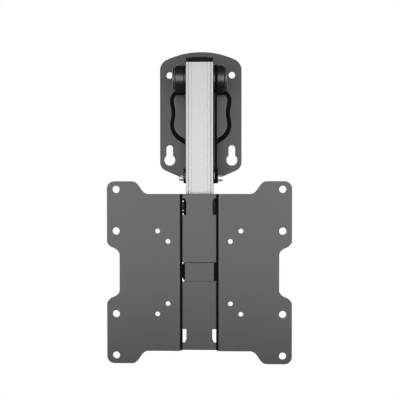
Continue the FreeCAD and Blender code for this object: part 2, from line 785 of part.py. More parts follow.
def tilt_clevis():
    """Folded clevis: its web fills the plate's window and its ears straddle the arm's end."""
    bend = clevis_bend_radius
    inner_bend = bend - clevis_sheet
    ear_end = pivot_y + clevis_left_height / 2
    web_inside = clevis_front + clevis_sheet
    corners = [(-clevis_out, ear_end, 0), (-clevis_out, clevis_front, bend),
               (clevis_out, clevis_front, bend), (clevis_out, ear_end, 0),
               (clevis_in, ear_end, 0), (clevis_in, web_inside, inner_bend),
               (-clevis_in, web_inside, inner_bend), (-clevis_in, ear_end, 0)]
    half = clevis_web_height / 2
    small = clevis_left_height / 2
    shoulder = clevis_shoulder_width / 2
    body = bar_along_z(corners, pivot_z - half, pivot_z + half)
    for low, high in ((pivot_z + small, pivot_z + through), (pivot_z - through, pivot_z - small)):
        body = body.cut(block(-through, -shoulder, -through, 0, low, high))
        body = body.cut(block(-through, 0, web_inside + inner_bend, 0, low, high))
    left_end = rod_x(clevis_left_height, -clevis_out - 1, -clevis_in + 1, pivot_y, pivot_z)
    left_trim = block(-clevis_out - 1, -clevis_in + 1, pivot_y, ear_end + 1, pivot_z - small, pivot_z + small)
    body = body.cut(left_trim.cut(left_end))
    right_trim = block(clevis_in - 1, clevis_out + 1, clevis_front + bend, ear_end + 1,
                       pivot_z - half - 1, pivot_z + half + 1)
    right_ear = sheet_along_x([(clevis_front, pivot_z - half, 0), (ear_end, pivot_z - half, small),
                               (ear_end, pivot_z + half, small), (clevis_front, pivot_z + half, 0)],
                              clevis_in - 2, clevis_out + 2)
    body = body.cut(right_trim.cut(right_ear))
    return body.cut(rod_x(pivot_bolt_diameter + 2 * bolt_clearance, -through, through, pivot_y, pivot_z))


def guide_slot(x_low, x_high):
    """Curved slot round the tilt pivot, as long as the tilt range needs."""
    width = guide_bolt_diameter + 2 * slot_clearance
    start = math.radians(-tilt_back_deg)
    end = math.radians(tilt_forward_deg)
    inner = guide_radius - width / 2
    outer = guide_radius + width / 2

    def at(radius, turn):
        return V(x_low, pivot_y + radius * math.sin(turn), pivot_z + radius * math.cos(turn))

    middle = (start + end) / 2
    edges = [
        Part.Arc(at(outer, start), at(outer, middle), at(outer, end)).toShape(),
        Part.LineSegment(at(outer, end), at(inner, end)).toShape(),
        Part.Arc(at(inner, end), at(inner, middle), at(inner, start)).toShape(),
        Part.LineSegment(at(inner, start), at(outer, start)).toShape(),
    ]
    slot = Part.Face(Part.Wire(edges)).extrude(V(x_high - x_low, 0, 0))
    for turn in (start, end):
        place = at(guide_radius, turn)
        slot = slot.fuse(rod_x(width, x_low, x_high, place.y, place.z))
    return slot


def guide_plate():
    """Right guide plate, welded by its front edge to the back of the screen plate."""
    reach = guide_radius * math.sin(math.radians(tilt_forward_deg))
    back = pivot_y + reach + guide_bolt_diameter / 2 + slot_clearance + guide_margin
    half = guide_height / 2
    plate = sheet_along_x([(channel_back, guide_z - half, 0), (back, guide_z - half, 6),
                           (back, guide_z + half, 6), (channel_back, guide_z + half, 0)],
                          guide_in, guide_out)
    return plate.cut(guide_slot(guide_in - 1, guide_out + 1))


def screen_outline():
    """Front outline of the screen plate: four ears, swept shoulders and waisted sides."""
    w = screen_width / 2
    h = screen_height / 2
    mid_h = screen_middle_height / 2
    waist_w = screen_waist_width / 2
    notch = screen_waist_height / 2
    sweep_x = screen_shoulder_width / 2
    quarter = [
        (waist_w, notch - screen_notch_lean, screen_notch_radius),
        (w, notch + screen_notch_lean, screen_notch_radius),
        (w, h, screen_ear_radius),
        (sweep_x + screen_sweep_lean, h, screen_sweep_radius),
        (sweep_x - screen_sweep_lean, mid_h, screen_sweep_radius),
    ]
    top_left = [(-x, z, r) for x, z, r in reversed(quarter)]
    bottom_left = [(-x, -z, r) for x, z, r in quarter]
    bottom_right = [(x, -z, r) for x, z, r in reversed(quarter)]
    outline = quarter + top_left + bottom_left + bottom_right
    return [(x, z + pivot_z, r) for x, z, r in outline]


def screen_section():
    """Cross-section of the pressed sheet: two wings and the channel set back between them."""
    edge = screen_width
    foot = channel_width / 2
    brow = foot + channel_flank_run
    slant = math.atan2(channel_depth, channel_flank_run)
    shift = screen_sheet * math.tan(slant / 2)
    big = channel_bend_radius + screen_sheet
    small = channel_bend_radius
    front = [(-edge, wing_front, 0), (-brow, wing_front, big), (-foot, channel_front, small),
             (foot, channel_front, small), (brow, wing_front, big), (edge, wing_front, 0)]
    back = [(edge, wing_back, 0), (brow + shift, wing_back, small), (foot + shift, channel_back, big),
            (-foot - shift, channel_back, big), (-brow - shift, wing_back, small), (-edge, wing_back, 0)]
    return front + back


def d_slot(side, end, height):
    """Slot beside the channel's flank: square towards the plate's middle, tapered at its far end."""
    outer = channel_width / 2
    inner = outer - slot_width
    far = slot_start + height
    corners = [(outer, slot_start, 0.4), (inner, slot_start, 1.0), (inner, far - slot_corner_rise, 4.0),
               (inner + slot_corner_run, far, 1.4), (outer, far, 0.4)]
    return sheet_along_y([(side * x, pivot_z + end * z, r) for x, z, r in corners], -through, 0)


def screen_plate():
    section = bar_along_z(screen_section(), pivot_z - screen_height, pivot_z + screen_height)
    blank = sheet_along_y(screen_outline(), wing_front - 1, channel_back + 1)
    plate = section.common(blank)
    for side in (-1, 1):
        plate = plate.cut(d_slot(side, 1, upper_slot_height))
        plate = plate.cut(d_slot(side, -1, lower_slot_height))
    half_w = window_width / 2
    half_h = window_height / 2
    plate = plate.cut(sheet_along_y([(-half_w, pivot_z - half_h, 0.5), (half_w, pivot_z - half_h, 0.5),
                                     (half_w, pivot_z + half_h, 0.5), (-half_w, pivot_z + half_h, 0.5)],
                                    -through, 0))
    large = corners_of(hole_pattern_large, hole_pattern_large, pivot_z)
    large += corners_of(hole_pattern_large, hole_pattern_medium, pivot_z)
    small = corners_of(hole_pattern_medium, hole_pattern_medium, pivot_z)
    small += corners_of(hole_pattern_small, hole_pattern_small, pivot_z)
    plate = drill_y(plate, large_hole_diameter, large)
    return drill_y(plate, small_hole_diameter, small)


ear_left, ear_right = hinge_ears()
cross_screw, cross_nut, cross_washer = cross_fasteners()
guide_screw, guide_nut, guide_washers = guide_fasteners()
pivot_screw, pivot_nut, pivot_washers, pivot_shims = pivot_fasteners()
guide_right = guide_plate()

nodes = {
    "wall_plate": wall_plate(),
    "hinge_ear_left": ear_left,
    "hinge_ear_right": ear_right,
    "ear_rivets": ear_rivets(),
    "rest_bumpers": rest_bumpers(),
    "hinge_bolt": hinge_bolt(),
    "hinge_nut": hinge_nut(),
    "hinge_drum_left": hinge_drum_left(),
    "hinge_drum_right": hinge_drum_right(),
    "friction_disc_left": friction_disc(-wall_out - side_clearance - friction_disc_thickness),
    "friction_disc_right": friction_disc(side_plate_out + side_clearance),
    "disc_springs": disc_springs(),
    "arm_profile": arm_profile(),
    "arm_bracket": arm_bracket(),
    "side_plate": side_plate(),
    "arm_top_cap": arm_cap(arm_top, cap_height, 1),
    "arm_end_cap": arm_cap(arm_bottom, end_cap_height, -1),
    "hinge_spacer": spacer_tube(hinge_bolt_diameter, arm_half, hinge_y, hinge_z),
    "clamp_pad_left": clamp_pad(-wall_out - clamp_pad_thickness),
    "clamp_pad_right": clamp_pad(side_plate_out),
    "cross_bolt": cross_screw,
    "cross_nut": cross_nut,
    "cross_washer": cross_washer,
    "cross_spacer": spacer_tube(cross_bolt_diameter, arm_half, cross_y, cross_z),
    "guide_bolt": guide_screw,
    "guide_nut": guide_nut,
    "guide_washers": guide_washers,
    "guide_spacer": spacer_tube(guide_bolt_diameter, guide_in, pivot_y, guide_z),
    "pivot_spacer": spacer_tube(pivot_bolt_diameter, arm_half, pivot_y, pivot_z),
    "screen_plate": screen_plate(),
    "tilt_clevis": tilt_clevis(),
    "guide_plate_left": mirror_x(guide_right),
    "guide_plate_right": guide_right,
    "pivot_bolt": pivot_screw,
    "pivot_nut": pivot_nut,
    "pivot_washers": pivot_washers,
    "pivot_shims": pivot_shims,
}

for name, shape in nodes.items():
    state = "ok" if shape.isValid() and shape.Solids else "BAD"
    print(name, state, "solids", len(shape.Solids), "volume", round(shape.Volume, 1))
    shape.exportStep(f"parts/{name}.step")
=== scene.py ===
"""Folding wall mount for a small television, finished for its portrait.

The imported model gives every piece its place. Here each piece gets rounded
edges, its fasteners' threads and sockets, its welds and its surface finish.
Lengths are in metres: X right, Y towards the wall, Z up.
"""
import math

import bmesh
import bpy
from mathutils import Matrix, Vector


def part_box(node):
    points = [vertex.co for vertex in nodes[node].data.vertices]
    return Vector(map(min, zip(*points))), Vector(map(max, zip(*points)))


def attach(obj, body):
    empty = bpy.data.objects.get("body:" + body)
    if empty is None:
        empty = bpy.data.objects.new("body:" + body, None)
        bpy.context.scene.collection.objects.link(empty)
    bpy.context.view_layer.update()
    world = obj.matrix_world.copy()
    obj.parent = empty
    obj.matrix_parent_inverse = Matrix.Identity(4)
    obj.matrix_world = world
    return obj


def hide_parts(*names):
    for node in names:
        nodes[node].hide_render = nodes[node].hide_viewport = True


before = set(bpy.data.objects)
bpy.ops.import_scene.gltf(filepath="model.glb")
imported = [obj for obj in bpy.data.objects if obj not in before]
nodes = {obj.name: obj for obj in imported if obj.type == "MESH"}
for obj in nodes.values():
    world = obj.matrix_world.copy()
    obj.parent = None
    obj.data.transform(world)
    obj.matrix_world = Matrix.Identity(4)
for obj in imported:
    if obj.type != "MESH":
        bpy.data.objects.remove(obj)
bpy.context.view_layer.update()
scene = bpy.context.scene


# Camera
# A long lens a little less than a metre in front of the folded mount, turned
# slightly to the left and a little below the foot of the wall plate.

camera_place = Vector((0.0289, -0.9321, -0.1427))
camera_turn = math.radians(1.842)
camera_dip = math.radians(1.081)

lens = bpy.data.cameras.new("portrait_lens")
lens.lens = 65.0
lens.sensor_width = 36.0
camera = bpy.data.objects.new("portrait_camera", lens)
scene.collection.objects.link(camera)
aim = Matrix.Rotation(-camera_dip, 4, "X") @ Matrix.Rotation(camera_turn, 4, "Z")
level_view = Matrix.Rotation(math.radians(90), 4, "X")
camera.matrix_world = Matrix.Translation(camera_place) @ aim @ level_view
scene.camera = camera
scene.view_settings.view_transform = "Standard"


# Studio
# A white surround and a pale floor well below the mount. One broad soft lamp
# stands behind the camera with a narrow one on each side of it, and dark cards
# out of view keep the flanks of the pressings black.

def studio_lamp(name, place, towards, width, height, power):
    """Rectangular soft lamp that faces a point."""
    light = bpy.data.lights.new(name, "AREA")
    light.shape = "RECTANGLE"
    light.size = width
    light.size_y = height
    light.energy = power
    lamp = bpy.data.objects.new(name, light)
    lamp.location = place
    lamp.rotation_euler = (Vector(towards) - Vector(place)).to_track_quat("-Z", "Y").to_euler()
    scene.collection.objects.link(lamp)


def studio_sheet(name, corner, side_a, side_b, tone):
    """Flat matt sheet from one of its corners and the two sides that meet there."""
    sheet = bmesh.new()
    corner, side_a, side_b = Vector(corner), Vector(side_a), Vector(side_b)
    corners = [corner, corner + side_a, corner + side_a + side_b, corner + side_b]
    sheet.faces.new([sheet.verts.new(point) for point in corners])
    mesh = bpy.data.meshes.new(name)
    sheet.to_mesh(mesh)
    sheet.free()
    matt = bpy.data.materials.new(name + "_paint")
    matt.use_nodes = True
    shader = matt.node_tree.nodes["Principled BSDF"]
    shader.inputs["Base Color"].default_value = (tone, tone, tone, 1)
    shader.inputs["Roughness"].default_value = 0.9
    mesh.materials.append(matt)
    piece = bpy.data.objects.new(name, mesh)
    scene.collection.objects.link(piece)
    return piece


mount_middle = (0.0, -0.05, -0.16)
studio_lamp("front_softbox", (0.05, -1.35, -0.15), mount_middle, 1.7, 0.84, 7.9)
studio_lamp("left_strip", (-0.80, -0.95, -0.13), mount_middle, 0.35, 0.9, 5.0)
studio_lamp("right_strip", (0.80, -0.95, -0.13), mount_middle, 0.35, 0.9, 5.0)

studio_sheet("floor", (-2.0, -2.0, -0.95), (4.0, 0, 0), (0, 3.2, 0), 0.86)
cards = [
    ("dark_card_left", (-0.36, 0.6, -0.8), (-0.4, -1.15, 0), (0, 0, 1.35), 0.015),
    ("dark_card_right", (0.36, 0.6, -0.8), (0.4, -1.15, 0), (0, 0, 1.35), 0.015),
    ("grey_card_above", (-0.6, 0.4, 0.42), (1.2, 0, 0), (0, -1.6, 0.05), 0.12),
    ("dark_card_below", (-0.8, -1.25, -0.62), (1.6, 0, 0), (0, 1.0, 0.0), 0.03),
]
for name, corner, side_a, side_b, tone in cards:
    card = studio_sheet(name, corner, side_a, side_b, tone)
    card.visible_camera = False

fill_strength = 0.35
white_strength = 1.0

surround = bpy.data.worlds.new("white_surround")
scene.world = surround
surround.use_nodes = True
tree = surround.node_tree
tree.nodes.clear()
output = tree.nodes.new("ShaderNodeOutputWorld")
blend = tree.nodes.new("ShaderNodeMixShader")
fill = tree.nodes.new("ShaderNodeBackground")
fill.inputs["Color"].default_value = (1, 1, 1, 1)
fill.inputs["Strength"].default_value = fill_strength
white = tree.nodes.new("ShaderNodeBackground")
white.inputs["Color"].default_value = (1, 1, 1, 1)
white.inputs["Strength"].default_value = white_strength
path = tree.nodes.new("ShaderNodeLightPath")
seen = tree.nodes.new("ShaderNodeMath")
seen.operation = "MAXIMUM"
clear = tree.nodes.new("ShaderNodeMath")
clear.operation = "MAXIMUM"
tree.links.new(path.outputs["Is Camera Ray"], seen.inputs[0])
tree.links.new(path.outputs["Is Glossy Ray"], seen.inputs[1])
tree.links.new(seen.outputs[0], clear.inputs[0])
tree.links.new(path.outputs["Is Transmission Ray"], clear.inputs[1])
tree.links.new(clear.outputs[0], blend.inputs[0])
tree.links.new(fill.outputs[0], blend.inputs[1])
tree.links.new(white.outputs[0], blend.inputs[2])
tree.links.new(blend.outputs[0], output.inputs["Surface"])


# Wall plate
# Sheet steel, blanked and pressed, with a waisted panel raised in its middle. It
# is powder coated black, with the fine texture that such paint dries to. Its panel's
# flanks carry painted shade and the bend at their front a painted highlight.

coat_colour = (0.008, 0.008, 0.0083)
# Colour for painted shade: a copy of the coat with almost no gloss, for faces left dark.
painted_shade_colour = (0.0085, 0.0085, 0.0087)
# Colour for painted highlight: a lighter copy of the coat, for the bend at the panel's front.
painted_highlight_colour = (0.032, 0.032, 0.0322)
coat_shine = 0.85


def grain_group():
    """Fine irregular grain: changes in height and in roughness, and a faint cloud of tone."""
    group = bpy.data.node_groups.new("surface_grain", "ShaderNodeTree")
    starts = {"Grain size": 1500.0, "Cloud size": 40.0, "Roughness": 0.4, "Spread": 0.1}
    for name, value in starts.items():
        socket = group.interface.new_socket(name, in_out="INPUT", socket_type="NodeSocketFloat")
        socket.default_value = value
    for name in ("Height", "Roughness", "Cloud"):
        group.interface.new_socket(name, in_out="OUTPUT", socket_type="NodeSocketFloat")
    grain_tree = group.nodes
    entry = grain_tree.new("NodeGroupInput")
    leave = grain_tree.new("NodeGroupOutput")
    place = grain_tree.new("ShaderNodeTexCoord")
    fine = grain_tree.new("ShaderNodeTexNoise")
    fine.inputs["Detail"].default_value = 3.0
    cloud = grain_tree.new("ShaderNodeTexNoise")
    cloud.inputs["Detail"].default_value = 4.0
    group.links.new(place.outputs["Object"], fine.inputs["Vector"])
    group.links.new(place.outputs["Object"], cloud.inputs["Vector"])
    group.links.new(entry.outputs["Grain size"], fine.inputs["Scale"])
    group.links.new(entry.outputs["Cloud size"], cloud.inputs["Scale"])
    centred = grain_tree.new("ShaderNodeMath")
    centred.operation = "SUBTRACT"
    centred.inputs[1].default_value = 0.5
    group.links.new(fine.outputs["Fac"], centred.inputs[0])
    spread = grain_tree.new("ShaderNodeMath")
    spread.operation = "MULTIPLY_ADD"
    group.links.new(centred.outputs[0], spread.inputs[0])
    group.links.new(entry.outputs["Spread"], spread.inputs[1])
    group.links.new(entry.outputs["Roughness"], spread.inputs[2])
    group.links.new(fine.outputs["Fac"], leave.inputs["Height"])
    group.links.new(spread.outputs[0], leave.inputs["Roughness"])
    group.links.new(cloud.outputs["Fac"], leave.inputs["Cloud"])
    return group


surface_grain = grain_group()
tone_drift = 0.13
gloss_drift = 0.3


def finish_material(name, tone, roughness, metallic=0.0, grain_size=1400.0, grain_depth=0.00003,
                    specular=0.5):
    """A finish whose colour drifts about its tone, with fine grain in its gloss and its height."""
    finish = bpy.data.materials.new(name)
    finish.use_nodes = True
    tree = finish.node_tree
    shader = tree.nodes["Principled BSDF"]
    shader.inputs["Metallic"].default_value = metallic
    shader.inputs["Specular IOR Level"].default_value = specular
    grain = tree.nodes.new("ShaderNodeGroup")
    grain.node_tree = surface_grain
    grain.inputs["Grain size"].default_value = grain_size
    grain.inputs["Roughness"].default_value = roughness
    grain.inputs["Spread"].default_value = roughness * gloss_drift
    drift = tree.nodes.new("ShaderNodeMix")
    drift.data_type = "RGBA"
    drift.inputs[6].default_value = (*(channel * (1 - tone_drift) for channel in tone), 1)
    drift.inputs[7].default_value = (*(channel * (1 + tone_drift) for channel in tone), 1)
    bump = tree.nodes.new("ShaderNodeBump")
    bump.inputs["Strength"].default_value = 0.5
    bump.inputs["Distance"].default_value = grain_depth
    tree.links.new(grain.outputs["Cloud"], drift.inputs[0])
    tree.links.new(drift.outputs[2], shader.inputs["Base Color"])
    tree.links.new(grain.outputs["Roughness"], shader.inputs["Roughness"])
    tree.links.new(grain.outputs["Height"], bump.inputs["Height"])
    tree.links.new(bump.outputs["Normal"], shader.inputs["Normal"])
    return finish


def linked(name, mesh, finish, body, replaced):
    """An object for a mesh that lies in its place, with its finish, its body and its node."""
    mesh.materials.append(finish)
    piece = bpy.data.objects.new(name, mesh)
    scene.collection.objects.link(piece)
    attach(piece, body)
    if replaced is not None:
        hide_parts(replaced)
    return piece


sharp_angle = math.radians(28)


def rounded(piece, edge, steps=2, rim=None):
    """Rounded sharp edges; rim, if given, is a finish for the rounded faces alone, lighter than the
    piece's own: painted highlight.
    """
    rounding = piece.modifiers.new("rounded_edges", "BEVEL")
    rounding.limit_method = "ANGLE"
    rounding.angle_limit = sharp_angle
    rounding.width = edge
    rounding.segments = steps
    rounding.harden_normals = True
    if rim is not None:
        rounding.use_clamp_overlap = False
        piece.data.materials.append(rim)
        rounding.material = len(piece.data.materials) - 1


weld_distance = 0.000002
flat_angle = math.radians(0.5)


def softened(name, finish, edge, steps=2, body="wall_bracket", rim=None,
             reshape=None, zone=None, zone_finishes=()):
    """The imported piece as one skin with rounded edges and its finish.

    reshape moves points of the skin, and zone says which of the finishes a face gets: 0 is the
    first one, and the others are the zone's own.
    """
    skin = bmesh.new()
    skin.from_mesh(nodes[name].data)
    bmesh.ops.remove_doubles(skin, verts=skin.verts, dist=weld_distance)
    bmesh.ops.dissolve_limit(skin, angle_limit=flat_angle, verts=skin.verts, edges=skin.edges)
    if reshape is not None:
        reshape(skin)
    for face in skin.faces:
        face.smooth = True
        face.material_index = 0 if zone is None else zone(face)
    mesh = bpy.data.meshes.new(name + "_skin")
    skin.to_mesh(mesh)
    skin.free()
    if "custom_normal" in mesh.attributes:
        mesh.attributes.remove(mesh.attributes["custom_normal"])
    mesh.set_sharp_from_angle(angle=sharp_angle)
    piece = linked(name + "_finished", mesh, finish, body, name)
    for other in zone_finishes:
        mesh.materials.append(other)
    rounded(piece, edge, steps, rim)


powder_coat = finish_material("black_powder_coat", coat_colour, roughness=0.40, specular=coat_shine)
wall_coat = finish_material("wall_plate_coat", coat_colour, roughness=0.46, specular=0.80)
# Painted shade: the coat's copy with almost no gloss, for flanks and parts that lie in shade.
painted_shade_coat = finish_material("coat_with_painted_shade", painted_shade_colour, roughness=0.6, specular=0.03)
# Painted highlight: a lighter copy of the coat, for the bend along the front of the panel's flanks.
painted_highlight_coat = finish_material("coat_with_painted_highlight_on_bends", painted_highlight_colour, roughness=0.45, grain_depth=0.00002,
                            specular=0.8)
plate_low, plate_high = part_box("wall_plate")
panel_share = 0.75
bend_depth = 0.0012
side_on = 0.05
half_bent = 0.85
front_on = 0.995


def panel_shade_and_highlight_zone(face):
    """1 for painted shade on the drawn flanks round the wall plate's raised panel, 2 for
    painted highlight on their bend at its front.

    A face that looks to the side is turned 0 to the front, and a face of the flat sheet 1.
    """
    middle = face.calc_center_median()
    turned_front = -face.normal.y
    if abs(middle.x) > plate_high[0] * panel_share or not side_on <= turned_front <= front_on:
        return 0
    if turned_front < half_bent:
        return 1
    return 2 if middle.y < plate_low[1] + bend_depth else 0


# The panel's flanks get painted shade and the bend at their front a painted highlight.
softened("wall_plate", wall_coat, edge=0.0004, zone=panel_shade_and_highlight_zone,
         zone_finishes=(painted_shade_coat, painted_highlight_coat))


# Hinge ears
# Bent steel straps with round ends, coated like the plate. Their rounded rims get a
# light grey finish as a painted highlight. Each is held to the plate by two zinc plated
# steel rivets.

# Painted highlight: light grey on the ears' rounded rims, brighter than their faces.
rim_highlight_paint = finish_material("painted_highlight_on_rims", (0.55, 0.55, 0.555), roughness=0.35,
                            grain_depth=0.00002, specular=0.9)
for name in ("hinge_ear_left", "hinge_ear_right"):
    softened(name, powder_coat, edge=0.00042, steps=3, rim=rim_highlight_paint)


same_place = 0.0000001
ring_angle = math.radians(30)
turned_sharp_angle = math.radians(32)


def turned(profile, edge=0.0, steps=96):
    """Skin spun about the X axis from (x, radius) points, with its sharp rings rounded.

    A profile that ends where it starts makes a ring, and a radius of 0 closes an end.
    """
    shape = bmesh.new()
    closed = profile[0] == profile[-1]
    if closed:
        profile = profile[:-1]
    points = [shape.verts.new((x, 0.0, radius)) for x, radius in profile]
    pairs = list(zip(points, points[1:]))
    if closed:
        pairs.append((points[-1], points[0]))
    lines = [shape.edges.new(pair) for pair in pairs]
    bmesh.ops.spin(shape, geom=points + lines, cent=(0, 0, 0), axis=(1, 0, 0), angle=math.tau,
                   steps=steps, use_merge=True)
    bmesh.ops.remove_doubles(shape, verts=shape.verts, dist=2 * same_place)
    bmesh.ops.recalc_face_normals(shape, faces=shape.faces)
    sharp_rings = [line for line in shape.edges if len(line.link_faces) == 2
                   and abs(line.verts[0].co.x - line.verts[1].co.x) < same_place
                   and line.calc_face_angle() > ring_angle]
    if edge > 0 and sharp_rings:
        bmesh.ops.bevel(shape, geom=sharp_rings, offset=edge, segments=2, profile=0.5,
                        affect="EDGES", clamp_overlap=True, material=-1)
    return shape


def domed(side, rim_x, rim_radius, height, inner_radius, steps=10):
    """Points of a shallow dome, from its rim inwards; side is 1 where it bulges to +X."""
    ball = (rim_radius ** 2 + height ** 2) / (2 * height)
    points = []
    for i in range(steps + 1):
        radius = rim_radius + (inner_radius - rim_radius) * i / steps
        rise = math.sqrt(ball ** 2 - radius ** 2) - (ball - height)
        points.append((rim_x + side * rise, radius))
    return points


def assembled(name, parts, finish, body, replaced=None):
    """One piece made of (shape, place) parts, smooth but for its sharp edges."""
    whole = bmesh.new()
    for shape, place in parts:
        bmesh.ops.transform(shape, matrix=place, verts=shape.verts)
        part_mesh = bpy.data.meshes.new(name + "_part")
        shape.to_mesh(part_mesh)
        shape.free()
        whole.from_mesh(part_mesh)
        bpy.data.meshes.remove(part_mesh)
    for face in whole.faces:
        face.smooth = True
    mesh = bpy.data.meshes.new(name + "_skin")
    whole.to_mesh(mesh)
    whole.free()
    mesh.set_sharp_from_angle(angle=turned_sharp_angle)
    return linked(name, mesh, finish, body, replaced)


zinc = finish_material("zinc_plate", (0.8, 0.8, 0.81), roughness=0.36, metallic=0.6,
                       grain_size=900.0, grain_depth=0.00001)
low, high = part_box("ear_rivets")
rivet_head = 0.004
rivet_shank = 0.0024
rivet_dome = 0.0014
facing_front = Matrix.Rotation(math.radians(-90), 4, "Z")
rivet_length = high[1] - low[1]
rivet_seat = rivet_length - rivet_dome
rivets = []
for x in (low[0] + rivet_head, high[0] - rivet_head):
    for z in (low[2] + rivet_head, high[2] - rivet_head):
        profile = [(0.0, 0.0), (0.0, rivet_shank), (rivet_seat, rivet_shank)]
        profile += domed(1, rivet_seat, rivet_head, rivet_dome, 0.0)
        place = Matrix.Translation((x, high[1], z)) @ facing_front
        rivets.append((turned(profile, edge=0.0001, steps=48), place))
assembled("set_rivets", rivets, zinc, "wall_bracket", "ear_rivets")


# Hinge drums
# Turned steel drums that press on each side of the arm. They are enamelled, which
# is glossier than the sheet parts' coat, and have a fine groove beside their rim.

drum_enamel = finish_material("drum_enamel", coat_colour, roughness=0.32, grain_depth=0.00002,
                              specular=coat_shine)
low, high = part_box("hinge_drum_left")
drum_radius = (high[2] - low[2]) / 2
hinge_line = Matrix.Translation((0, (low[1] + high[1]) / 2, (low[2] + high[2]) / 2))
pin_bore = 0.0051
sleeve_bore = 0.0061
sleeve_end = -0.0263
spring_cavity_radius = 0.011
spring_cavity_depth = 0.0064
drum_rim = 0.0026
drum_rim_steps = 8
drum_chamfer = 0.0002
drum_groove_place = 0.0034
drum_groove_width = 0.0006
drum_groove_slope = 0.0001
drum_groove_depth = 0.0003
drum_steps = 128


def drum_side(inner, outer):
    """Outline of a drum from its inner face over its rim, with a groove by its inner face."""
    out = 1 if outer > inner else -1
    line = [(inner, drum_radius - drum_chamfer), (inner + out * drum_chamfer, drum_radius)]
    near = inner + out * drum_groove_place
    far = near + out * drum_groove_width
    cut_radius = drum_radius - drum_groove_depth
    line += [(near, drum_radius), (near + out * drum_groove_slope, cut_radius),
             (far - out * drum_groove_slope, cut_radius), (far, drum_radius)]
    for i in range(drum_rim_steps + 1):
        turn = math.radians(90 * i / drum_rim_steps)
        line.append((outer - out * drum_rim * (1 - math.sin(turn)),
                     drum_radius - drum_rim * (1 - math.cos(turn))))
    return line


inner, outer = high[0], low[0]
cavity_floor = inner - spring_cavity_depth
profile = [(cavity_floor, pin_bore), (cavity_floor, spring_cavity_radius)]
profile += [(inner, spring_cavity_radius)]
profile += drum_side(inner, outer)
profile += [(outer, sleeve_bore), (sleeve_end, sleeve_bore), (sleeve_end, pin_bore), profile[0]]
left_drum = turned(profile, steps=drum_steps)
assembled("left_drum", [(left_drum, hinge_line)], drum_enamel,
          "wall_bracket", "hinge_drum_left")

low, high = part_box("hinge_drum_right")
profile = [(low[0], pin_bore)]
profile += drum_side(low[0], high[0])
profile += [(high[0], pin_bore), profile[0]]
right_drum = turned(profile, steps=drum_steps)
assembled("right_drum", [(right_drum, hinge_line)], drum_enamel,
          "wall_bracket", "hinge_drum_right")


# Hinge pin
# A domed steel bolt goes through the ears, drums and arm into a domed sleeve nut.
# Both have a hexagon socket for the key that sets how stiffly the arm moves.

dome_radius = 0.011
dome_height = 0.0015
key_flats = 0.005
key_depth = 0.003
pin_radius = 0.005
sleeve_radius = 0.006
thread_radius = 0.004
thread_pitch = 0.00125
thread_length = 0.0055
thread_point = 0.0006
thread_depth_share = 0.6
rings_per_turn = 8
dome_sunk = 0.00008
socket_share = 0.56
socket_reach = 0.002
surface_slack = 0.00002


def hexed(shape, flats, low_x, high_x, socket):
    """Makes round walls between two places along X hexagonal: a nut's flats or a key's socket."""
    sixth = math.radians(60)
    for vert in shape.verts:
        if not low_x <= vert.co.x <= high_x:
            continue
        radius = math.hypot(vert.co.y, vert.co.z)
        turn = math.atan2(vert.co.z, vert.co.y) % sixth - sixth / 2
        wall = flats / 2 / math.cos(turn)
        if socket and radius < flats * socket_share:
            factor = 1 / math.cos(turn)
        elif not socket and radius > wall:
            factor = wall / radius
        else:
            continue
        vert.co.y *= factor
        vert.co.z *= factor


def threaded(shape, radius, low_x, high_x, pitch):
    """Cuts a rolled thread into a shank that has close rings between two places along X."""
    depth = pitch * thread_depth_share
    for vert in shape.verts:
        here = math.hypot(vert.co.y, vert.co.z)
        if not low_x <= vert.co.x <= high_x or abs(here - radius) > surface_slack:
            continue
        turn = math.atan2(vert.co.z, vert.co.y)
        wave = 0.5 + 0.5 * math.cos(math.tau * vert.co.x / pitch - turn)
        fade = min(1.0, (high_x - vert.co.x) / pitch)
        factor = 1 - depth / radius * wave * fade
        vert.co.y *= factor
        vert.co.z *= factor


def thread_rings(start, end, radius, pitch):
    """Outline of a shank with close rings, from which its thread is cut."""
    count = int((end - start) / pitch * rings_per_turn)
    return [(start + (end - start) * i / count, radius) for i in range(count + 1)]


low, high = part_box("hinge_bolt")
ear_face = high[0] - (dome_height - dome_sunk)
key_floor = ear_face + dome_height - key_depth
tip = low[0]
thread_end = tip + thread_length
profile = [(tip, 0.0), (tip, thread_radius - thread_point)]
profile += thread_rings(tip + thread_point, thread_end, thread_radius, thread_pitch)
profile += [(thread_end, pin_radius), (ear_face, pin_radius)]
profile += domed(1, ear_face, dome_radius, dome_height, key_flats / 2)
profile += [(key_floor, key_flats / 2), (key_floor, 0.0)]
pin = turned(profile, edge=0.0002)
threaded(pin, thread_radius, tip + thread_point, thread_end, thread_pitch)
hexed(pin, key_flats, ear_face - socket_reach, ear_face + socket_reach, socket=True)
assembled("domed_pin", [(pin, hinge_line)], powder_coat,
          "wall_bracket", "hinge_bolt")

low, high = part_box("hinge_nut")
ear_face = low[0] + (dome_height - dome_sunk)
key_floor = ear_face - dome_height + key_depth
bore_end = ear_face + 0.002
profile = [(key_floor, 0.0), (key_floor, key_flats / 2)]
profile += domed(-1, ear_face, dome_radius, dome_height, key_flats / 2)[::-1]
profile += [(ear_face, sleeve_radius), (high[0], sleeve_radius), (high[0], thread_radius),
            (bore_end, thread_radius), (bore_end, 0.0)]
sleeve = turned(profile, edge=0.0002)
hexed(sleeve, key_flats, ear_face - socket_reach, key_floor + 0.0001, socket=True)
assembled("domed_sleeve_nut", [(sleeve, hinge_line)], powder_coat,
          "wall_bracket", "hinge_nut")


# Friction pack
# Cone springs of hardened steel press a fibre disc against each side of the arm's
# eyes. They sit loose on the hinge pin and keep the arm where it is left.

